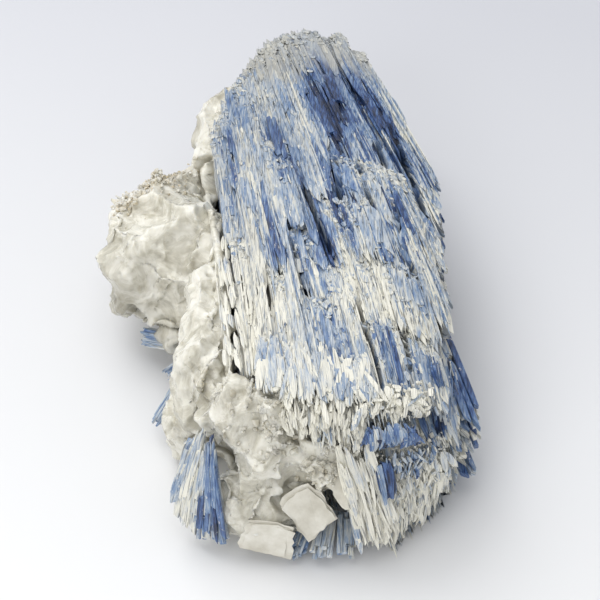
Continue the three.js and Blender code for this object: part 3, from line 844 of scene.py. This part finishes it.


# Name, corners and count; lengths, widths, spread, tint, slot, bulge, curl and shade, the painted shade
# among the fibres.
SPRAYS = [
    ("front_right_fibres", [(24, -72, 27), (46, -64, 26), (27, -77, 14), (45, -65, 12)], 380,
     (0.12, 0.4), (0.4, 1.9), 4.5, 0.2, "kyanite_pale", 2.0, 3.0, -0.15),
    ("front_lower_fibres", [(25, -73, 25), (46, -64, 23), (29, -79, 3), (41, -67, 4)], 520,
     (0.15, 0.5), (0.4, 1.8), 4.5, 0.14, "kyanite_pale", 1.0, 3.0, -0.1),
    ("right_edge_fibres", [(41, -50, 43), (46.5, -44, 36), (42.5, -64, 25), (45.5, -58, 20)], 210,
     (0.2, 0.5), (0.4, 1.6), 2.5, 0.64, "kyanite_mid", 1.0, 2.5, 0.05),
    ("near_lobe_left", [(-3, -46, 47.3), (9, -48, 47.8), (-1, -64, 45.5), (11, -67, 45)], 150,
     (0.3, 0.8), (0.5, 2.2), 0.8, 0.27, "kyanite_pale", 0.6, 0.4, -0.2),
    ("near_lobe_right", [(9, -48, 47.6), (25, -52, 46.6), (11, -67, 44.5), (26, -66, 43.5)], 150,
     (0.3, 0.8), (0.5, 2.2), 0.8, 0.34, "kyanite_pale", 0.6, 0.4, -0.2),
    ("step_leaves_middle", [(3, -58, 45), (14, -60, 45), (5, -71, 38), (15, -73, 34)], 110,
     (0.1, 0.4), (0.4, 2.2), 3.0, 0.06, "kyanite_cream", 2.0, 3.0, -0.1),
    ("step_leaves_right", [(14, -62, 44.5), (25, -64, 43.5), (15, -73, 34), (25, -73, 31)], 120,
     (0.1, 0.4), (0.4, 1.8), 3.2, 0.1, "kyanite_cream", 2.0, 3.5, -0.1),
    ("front_tube_fibres", [(17, -74, 35), (26, -72, 35), (24, -80, 5), (33, -78, 5)], 220,
     (0.15, 0.5), (0.4, 2.0), 3.0, 0.06, "kyanite_cream", 1.5, 3.5, -0.1),
    ("left_edge_film", [(-14, -6, 41), (-10.5, -6, 44.5), (-9, -58, 42), (-3, -60, 46)], 60,
     (0.06, 0.2), (0.4, 1.4), 1.2, 0.16, "kyanite_cream", 0.5, 0.6, 0.0),
    ("box_rim_leaves", [(24, -62, 45), (42, -59, 43), (24, -69, 40), (41, -65, 38)], 110,
     (0.1, 0.4), (0.4, 2.2), 2.0, 0.1, "kyanite_cream", 1.0, 1.5, -0.1),
    ("box_window_laths", [(25, -70, 40), (37, -67, 38.5), (26, -73, 34), (37, -70, 33)], 80,
     (0.4, 0.9), (0.5, 1.8), 1.8, 0.66, "kyanite_mid", 1.8, 1.2, 0.0),
    ("box_hollow_fibres", [(28, -73, 32), (42, -67, 31), (29, -77, 23), (42, -68, 22)], 150,
     (0.15, 0.45), (0.3, 1.2), 3.5, 0.4, "kyanite_mid", 0.5, 1.5, 0.35),
    ("hollow_deep_blade", [(27.5, -75, 31), (31, -74, 31), (30, -79, 21), (32, -78, 21)], 14,
     (0.7, 1.0), (0.8, 1.8), 1.0, 0.85, "kyanite_deep", 0.5, 0.0, 0.0),
    ("side_fan_fibres", [(-17, -67, 35), (-13.5, -69, 35), (-24.5, -70.5, 6), (-17, -75, 4)], 110,
     (0.2, 0.6), (0.5, 2.2), 2.0, 0.3, "kyanite_pale", 0.8, 1.5, 0.0),
    ("side_fan_blue", [(-14.5, -69, 34), (-12.5, -70, 34), (-17.5, -75, 5), (-11.5, -78.5, 5)], 50,
     (0.4, 0.9), (0.8, 2.4), 1.4, 0.62, "kyanite_mid", 0.6, 1.0, 0.0),
]
for spray_name, corners, count, lengths, widths, spread, tint, slot, bulge, curl, shade in SPRAYS:
    spray(spray_name, corners, rng, count, lengths, widths, spread, tint, slot, bulge, curl, shade)


def random_turns(rng, count):
    """Rotation matrices with no preferred direction."""
    quaternions = rng.normal(0, 1, (count, 4))
    w, x, y, z = quaternions.T / np.linalg.norm(quaternions, axis=1)
    return np.stack([
        np.stack([1 - 2 * (y * y + z * z), 2 * (x * y - z * w), 2 * (x * z + y * w)], 1),
        np.stack([2 * (x * y + z * w), 1 - 2 * (x * x + z * z), 2 * (y * z - x * w)], 1),
        np.stack([2 * (x * z - y * w), 2 * (y * z + x * w), 1 - 2 * (x * x + y * y)], 1)], 1)


def crumb_copies(name, base, sizes, rng):
    """Angular crumbs turned every way, of the given sizes. Gives the mesh and its vertices, by crumb."""
    places, faces = CHIP
    scale = sizes * rng.uniform(0.6, 1.3, (len(base), 1, 3))
    points = base[:, None] + np.einsum("nij,nvj->nvi", random_turns(rng, len(base)), places[None] * scale)
    points[..., 2] = np.maximum(points[..., 2], FLOOR_GAP)
    return copies_mesh(name, points, faces), points


def strewn_crumbs(name, corners, rng, count, sizes, spread, bulge):
    """Crumbs strewn over a four-cornered patch. Gives the mesh and one random tone a vertex."""
    far_left, far_right, near_left, near_right, outward = patch_frame(corners)
    u, s, lift, size, tone = rng.uniform(0, 1, (5, count, 1))
    base = (far_left * (1 - u) + far_right * u) * (1 - s) + (near_left * (1 - u) + near_right * u) * s
    base = base + outward * (spread * (lift - 0.5) + bulge * 4 * s * (1 - s))
    crumb_sizes = (sizes[0] + (sizes[1] - sizes[0]) * size ** 2)[..., None]
    mesh, points = crumb_copies(name, base, crumb_sizes, rng)
    tones = np.broadcast_to(tone, points.shape[:2])
    set_uv(mesh, points[..., 0] + 31 * tones, points[..., 1] + points[..., 2] + 57 * tones)
    return mesh, tones


# Corners and count; sizes, spread and bulge in millimetres.
CRUMB_PATCHES = {
    "front_right_crumbs": ([(26, -72, 33), (45, -64, 31), (28, -77, 12), (44, -66, 12)], 260,
                           (0.4, 1.4), 4.0, 1.0),
    "box_rim_crumbs": ([(24, -61, 45), (42, -58, 43), (24, -69, 40), (41, -65, 38)], 120,
                       (0.3, 1.1), 1.6, 0.3),
}
for crumb_name, (corners, count, sizes, spread, bulge) in CRUMB_PATCHES.items():
    crumb_mesh, crumb_tone = strewn_crumbs(crumb_name, corners, rng, count, sizes, spread, bulge)
    set_attribute(crumb_mesh, "tint", 0.05 + 0.25 * crumb_tone)
    set_attribute(crumb_mesh, "shade", 0.15 * crumb_tone)
    set_attribute(crumb_mesh, "clay", 0.4 * crumb_tone)
    add_piece(crumb_name, crumb_mesh, KYANITE["kyanite_cream"], "kyanite_cream")


# ---- Quartz matrix ----
# Milky quartz that grew around the blades: one mass that broke with shell-like, glassy faces. It is
# white where it is full of tiny veils and greyer where it is clear enough to look into.


def quartz_material():
    # Vein quartz, broken, not polished. Veils 4 to 10 mm across make it white, clearer patches are grey,
    # hollows are darkened brown grey, partly clay and partly painted shade, and light goes a few millimetres
    # in.
    material, tree = new_material("milky_vein_quartz")
    coords = add_node(tree, "ShaderNodeTexCoord")
    stain_and_shade = add_node(tree, "ShaderNodeAttribute", attribute_name="stain_and_shade")
    ochre = add_node(tree, "ShaderNodeAttribute", attribute_name="ochre")
    veil_noise = add_node(tree, "ShaderNodeTexNoise", {
        "Vector": coords.outputs["Object"], "Scale": 130.0, "Detail": 6.0, "Roughness": 0.65,
        "Distortion": 0.8})
    veil = add_node(tree, "ShaderNodeValToRGB", {"Fac": veil_noise.outputs["Fac"]})
    set_ramp(veil, [(0.32, srgb("#aaa594")), (0.43, srgb("#cbc7b8")), (0.54, srgb("#e2dfd3")),
                    (0.7, srgb("#f3f1e8"))])
    # Painted shade, with some brown clay: hollows and recesses are darkened towards brown grey.
    stained_and_shaded = add_node(tree, "ShaderNodeMix", {
        "Factor": stain_and_shade.outputs["Fac"], "A": veil.outputs["Color"], "B": srgb("#77715f")}, data_type="RGBA")
    grain_noise = add_node(tree, "ShaderNodeTexNoise", {
        "Vector": coords.outputs["Object"], "Scale": 1100.0, "Detail": 4.0, "Roughness": 0.7})
    crumbs = add_node(tree, "ShaderNodeMapRange", {
        "Value": grain_noise.outputs["Fac"], "From Min": 0.42, "From Max": 0.56})
    ochre_share = add_node(tree, "ShaderNodeMath", {0: ochre.outputs["Fac"], 1: crumbs.outputs[0]},
                           operation="MULTIPLY")
    coated = add_node(tree, "ShaderNodeMix", {
        "Factor": ochre_share.outputs[0], "A": stained_and_shaded.outputs["Result"], "B": srgb("#b39a6c")},
        data_type="RGBA")
    bump = add_node(tree, "ShaderNodeBump", {
        "Height": grain_noise.outputs["Fac"], "Strength": 0.35, "Distance": 0.0004})
    rough = add_node(tree, "ShaderNodeMapRange", {
        "Value": veil_noise.outputs["Fac"], "From Min": 0.38, "From Max": 0.62,
        "To Min": 0.1, "To Max": 0.42})
    surface = add_node(tree, "ShaderNodeBsdfPrincipled", {
        "Base Color": coated.outputs["Result"], "Roughness": rough.outputs[0], "IOR": 1.544,
        "Normal": bump.outputs[0], "Subsurface Weight": 0.5, "Subsurface Radius": (1.0, 0.95, 0.85),
        "Subsurface Scale": 0.0015})
    add_node(tree, "ShaderNodeOutputMaterial", {"Surface": surface.outputs[0]})
    return material


def voxel_copy(node, voxel):
    """A merged copy of a CAD node, remeshed into even small faces."""
    bm = bmesh.new()
    bm.from_mesh(frame["nodes"][node].data)
    bmesh.ops.remove_doubles(bm, verts=bm.verts, dist=1e-6)
    mesh = bpy.data.meshes.new(node + "_source")
    bm.to_mesh(mesh)
    bm.free()
    holder = bpy.data.objects.new(node + "_source", mesh)
    bpy.context.scene.collection.objects.link(holder)
    remesh = holder.modifiers.new("remesh", "REMESH")
    remesh.mode = "VOXEL"
    remesh.voxel_size = voxel
    depsgraph = bpy.context.evaluated_depsgraph_get()
    result = bpy.data.meshes.new_from_object(holder.evaluated_get(depsgraph))
    bpy.data.objects.remove(holder)
    return result


def vertex_arrays(mesh):
    """The places and the normals of a mesh's vertices."""
    places = np.zeros(len(mesh.vertices) * 3, np.float32)
    normals = np.zeros(len(mesh.vertices) * 3, np.float32)
    mesh.vertices.foreach_get("co", places)
    mesh.vertex_normals.foreach_get("vector", normals)
    return places.reshape(-1, 3).astype(float), normals.reshape(-1, 3).astype(float)


def move_surface(mesh, moves):
    """Moves a rock's vertices, in metres, but not through its foot."""
    places = vertex_arrays(mesh)[0] + moves
    places[:, 2] = np.maximum(places[:, 2], 0)
    mesh.vertices.foreach_set("co", places.astype(np.float32).ravel())
    mesh.update()


def break_surface(mesh, spacing, tilt, dish, low, high, seed):
    """Breaks a rounded mass into dished, shell-like faces that meet in sharp ridges. Sizes in metres."""
    places, normals = vertex_arrays(mesh)
    draw = np.random.default_rng(seed)
    _, chosen, cell = np.unique(np.floor((places + draw.uniform(0, spacing, 3)) / spacing), axis=0,
                                return_index=True, return_inverse=True)
    cell = cell.ravel()
    facing = np.zeros((len(chosen), 3))
    np.add.at(facing, cell, normals)
    facing /= np.maximum(np.linalg.norm(facing, axis=1, keepdims=True), 1e-9)
    facing += draw.normal(0, tilt, facing.shape)
    facing /= np.linalg.norm(facing, axis=1, keepdims=True)
    centres = places[chosen] + facing * draw.normal(0, 0.07 * spacing, (len(chosen), 1))
    tree = kdtree.KDTree(len(centres))
    for i, centre in enumerate(centres):
        tree.insert(centre, i)
    tree.balance()
    near = np.array([[hit[1] for hit in tree.find_n(place, 5)] for place in places])
    to_centre = centres[near] - places[:, None]
    along = np.einsum("ijk,ijk->ij", facing[near], to_centre)
    slant = np.maximum(np.einsum("ijk,ik->ij", facing[near], normals), 0.4)
    push = (along / slant + dish * (to_centre ** 2).sum(2)).min(1)
    push = np.clip(push, low, high) * np.clip(places[:, 2] / 0.002, 0, 1)
    hollow = np.einsum("ijk,ik->ij", to_centre, normals).mean(1) / spacing
    move_surface(mesh, normals * push[:, None])
    return hollow


def blunt_spikes(mesh, reach, passes):
    """Draws in any vertex that stands further than reach, in metres, from the middle of its neighbours."""
    ends = np.zeros(len(mesh.edges) * 2, np.int32)
    mesh.edges.foreach_get("vertices", ends)
    first, second = ends.reshape(-1, 2).T
    places, _ = vertex_arrays(mesh)
    count = np.bincount(ends, minlength=len(places))[:, None]
    for _ in range(passes):
        total = np.zeros_like(places)
        np.add.at(total, first, places[second])
        np.add.at(total, second, places[first])
        middle = total / count
        spiky = np.linalg.norm(places - middle, axis=1) > reach
        places[spiky] = middle[spiky]
    mesh.vertices.foreach_set("co", places.astype(np.float32).ravel())
    mesh.update()


def spots(places, listed):
    """How much each point takes of soft spots: x, y, z and radius in millimetres, and strength."""
    total = np.zeros(len(places))
    for x, y, z, radius, strength in listed:
        far_out = ((places / MM - (x, y, z)) ** 2).sum(1) / radius ** 2
        total += strength * np.exp(-far_out)
    return total


def settled_crumbs(name, rock, weights, rng, count, sizes):
    """Angular crumbs that sit on a rock's surface, thickest where the weights are high."""
    places, normals = vertex_arrays(rock)
    chosen = rng.choice(len(places), count, p=weights / weights.sum())
    base = (places[chosen] + 0.0002 * normals[chosen]) / MM + rng.normal(0, 0.3, (count, 3))
    mesh, points = crumb_copies(name, base, rng.uniform(*sizes, (count, 1, 1)), rng)
    return mesh, np.broadcast_to(rng.uniform(0, 1, (count, 1)), points.shape[:2])


quartz = voxel_copy("quartz_matrix", voxel=0.0007)
# The big lump is drawn in towards its middle at its near underside, where the short blades come out.
quartz_places, _ = vertex_arrays(quartz)
lump_middle = np.array((-0.025, 0.0, 0.018))
under_lump = 0.45 * spots(quartz_places, [(-34, -15, 7, 9, 1.0)])
move_surface(quartz, (lump_middle - quartz_places) * under_lump[:, None])
# It breaks twice: into faces about 10 mm across, and those into chips of about 4 mm.
hollow = break_surface(quartz, spacing=0.0095, tilt=0.34, dish=34, low=-0.0032, high=0.0015, seed=21)
break_surface(quartz, spacing=0.0036, tilt=0.28, dish=70, low=-0.0008, high=0.0004, seed=22)
blunt_spikes(quartz, reach=0.0005, passes=30)
quartz_places, quartz_normals = vertex_arrays(quartz)
# Hollows and recesses are darkened brown grey, partly clay and partly painted shade; ochre grains on the two
# high knobs.
clay = spots(quartz_places, [(-36, -4, 19, 10, 0.6), (-24, -22, 16, 8, 0.4), (-12, -62, 40, 4, 0.2),
                             (14, -78, 10, 6, 0.6), (-3, -66, 22, 4, 0.3)])
# Painted shade: concave places are darkened by how hollow they are, and the spot under the near end paints
# the shadow in its cavity.
set_attribute(quartz, "stain_and_shade", np.clip(clay + 0.9 * np.clip(hollow, 0, 0.5), 0, 0.7))
knobs = spots(quartz_places, [(-38, 24, 33, 7, 0.9), (-31, 34, 33, 7, 0.8), (-24, 28, 40, 6, 0.35)])
set_attribute(quartz, "ochre", np.clip(0.8 * knobs, 0, 0.8))
quartz.polygons.foreach_set("use_smooth", np.ones(len(quartz.polygons), bool))
QUARTZ = quartz_material()
add_piece("quartz_mass", quartz, QUARTZ, "quartz_milky", "quartz_matrix")

# Ochre crumbs of weathered feldspar sit on the two high knobs, and quartz grit lies in the near hollows.
upward = np.clip(quartz_normals[:, 2] + 0.2, 0, 1)
knob_tops = (knobs * upward) ** 1.5
crust_mesh, crust_tone = settled_crumbs("ochre_crumbs", quartz, knob_tops, rng, 500, (0.4, 1.3))
set_attribute(crust_mesh, "stain_and_shade", 0.1 * crust_tone)
set_attribute(crust_mesh, "ochre", 0.1 + 0.6 * crust_tone)
add_piece("ochre_crumbs", crust_mesh, QUARTZ, "quartz_milky")
near_step = spots(quartz_places, [(3, -68, 40, 9, 1.0), (14, -76, 30, 8, 1.0), (-9, -50, 44, 8, 0.6)])
grit_mesh, grit_tone = settled_crumbs("near_grit", quartz, near_step ** 1.5, rng, 420, (0.4, 1.6))
set_attribute(grit_mesh, "stain_and_shade", 0.3 * grit_tone)
set_attribute(grit_mesh, "ochre", 0.1 * grit_tone)
add_piece("near_grit", grit_mesh, QUARTZ, "quartz_milky")


# ---- Free blades and mica books ----
# The side fan, the short blades under the lump, the stubby ones under the near end and the mica books
# are single small laths, each made of a few leaves that end unevenly.


def lath_frame(node):
    """The middle of a small CAD lath, its axes with the longest first, and its corners along them."""
    co = np.array([v.co[:] for v in frame["nodes"][node].data.vertices]) / MM
    co = np.unique(np.round(co, 3), axis=0)
    centre = (co.max(0) + co.min(0)) / 2
    _, _, axes = np.linalg.svd(co - co.mean(0), full_matrices=False)
    if np.dot(np.cross(axes[0], axes[1]), axes[2]) < 0:
        axes[2] = -axes[2]
    local = (co - centre) @ axes.T
    return centre, axes, local


def small_bundle(node, rng, across_count, leaves, material, slot):
    """A small blade made of several leaves side by side and on top of each other."""
    centre, axes, local = lath_frame(node)
    low, high = local.min(0), local.max(0)
    # The short blades under the big lump run a quarter further, to show past the quartz.
    if node.startswith("lump_blade"):
        low[0], high[0] = 1.25 * low[0], 1.25 * high[0]
    start = np.abs(local[local[:, 0] < low[0] * 0.6][:, 1]).max()
    end = np.abs(local[local[:, 0] > high[0] * 0.6][:, 1]).max()
    rows = []
    for i in range(across_count):
        for j in range(leaves):
            rows.append((i, j, rng.uniform(-0.6, 0.6), rng.uniform(-3.2, 0.4), rng.random(),
                         rng.normal(0, 0.5)))
    values = np.array(rows)[:, :, None].transpose(1, 0, 2)
    i, j, skew, jag, tone, lift = values
    lath_places, lath_faces = LATH
    a, b, c = (lath_places[None, :, k] for k in range(3))
    share = b + 0.5
    at_end = np.abs(2 * b) ** 5
    half_width = start + (end - start) * share
    along = low[0] + (high[0] - low[0]) * share + at_end * (skew * 2 * a + jag * np.sign(b))
    wide = half_width * (2 * (i + 0.5 + a * 0.96) / across_count - 1)
    thick = high[2] - low[2]
    deep = low[2] + thick * (j + 0.5 + c * 0.96) / leaves + lift * share
    places = centre + along[..., None] * axes[0] + wide[..., None] * axes[1] + deep[..., None] * axes[2]
    mesh = copies_mesh(node, places, lath_faces)
    set_attribute(mesh, "tint", 0.45 + 0.3 * (tone - 0.5) - 0.1 * np.abs(2 * a) ** 3 + 0 * along)
    set_attribute(mesh, "shade", 0 * along)
    set_attribute(mesh, "clay", 0 * along)
    set_uv(mesh, wide + 31 * tone + 0.8 * deep, along + 57 * tone)
    return add_piece(node + "_leaves", mesh, material, slot, node)


def mica_material():
    # Muscovite books: thin pearly plates, cream white, with a soft sheen on the flats.
    material, tree = new_material("pearly_muscovite")
    coords = add_node(tree, "ShaderNodeTexCoord")
    noise = add_node(tree, "ShaderNodeTexNoise", {
        "Vector": coords.outputs["Object"], "Scale": 150.0, "Detail": 6.0, "Roughness": 0.6})
    tone = add_node(tree, "ShaderNodeValToRGB", {"Fac": noise.outputs["Fac"]})
    set_ramp(tone, [(0.35, srgb("#c6c1b2")), (0.52, srgb("#dad6c9")), (0.68, srgb("#e9e6dc"))])
    surface = add_node(tree, "ShaderNodeBsdfPrincipled", {
        "Base Color": tone.outputs["Color"], "Roughness": 0.42, "IOR": 1.56})
    add_node(tree, "ShaderNodeOutputMaterial", {"Surface": surface.outputs[0]})
    return material


def mica_book(node, rng, leaves):
    """A book of mica: ragged plates, each a little smaller than the one below and slid to one side."""
    centre, axes, local = lath_frame(node)
    half = (local.max(0) - local.min(0)) / 2
    bm = bmesh.new()
    sides = 24
    turns = np.arange(sides) / sides * 2 * math.pi
    squareness = np.maximum(np.abs(np.sin(turns)), np.abs(np.cos(turns)))
    outline = 0.88 + 0.06 * np.sin(3 * turns + 6 * rng.random()) + rng.normal(0, 0.045, sides)
    outline /= squareness ** 0.85
    for i in range(leaves):
        made = bmesh.ops.create_circle(bm, cap_ends=True, segments=sides, radius=1)["verts"]
        shift = rng.normal(0, 0.06, 2)
        deep = half[2] * (0.8 * i / leaves - 0.9)
        tilt = rng.normal(0, 0.05, 2)
        for vert, reach in zip(made, outline):
            ragged = reach * rng.uniform(0.95, 1.04) * (1 - 0.03 * i)
            long, wide = vert.co.x * ragged + shift[0], vert.co.y * ragged + shift[1]
            level = deep + half[1] * (tilt[0] * long + tilt[1] * wide)
            vert.co = centre + long * half[0] * axes[0] + wide * half[1] * axes[1] + level * axes[2]
        face = made[0].link_faces[0]
        lifted = bmesh.ops.extrude_face_region(bm, geom=[face])["geom"]
        top = [v for v in lifted if isinstance(v, bmesh.types.BMVert)]
        bmesh.ops.translate(bm, verts=top, vec=axes[2] * half[2] * 0.7 / leaves)
    bmesh.ops.scale(bm, vec=(MM, MM, MM), verts=bm.verts)
    bmesh.ops.recalc_face_normals(bm, faces=bm.faces)
    mesh = bpy.data.meshes.new(node)
    bm.to_mesh(mesh)
    bm.free()
    return add_piece(node + "_plates", mesh, MICA, "mica_pearl", node)


MICA = mica_material()
for node in sorted(frame["nodes"]):
    slot = NODE_SLOT[node]
    if node.startswith(("side_fan", "lump_blade", "rosette")):
        small_bundle(node, rng, 6, 3, KYANITE[slot], slot)
    elif node.startswith("mica_book"):
        mica_book(node, rng, leaves=6)
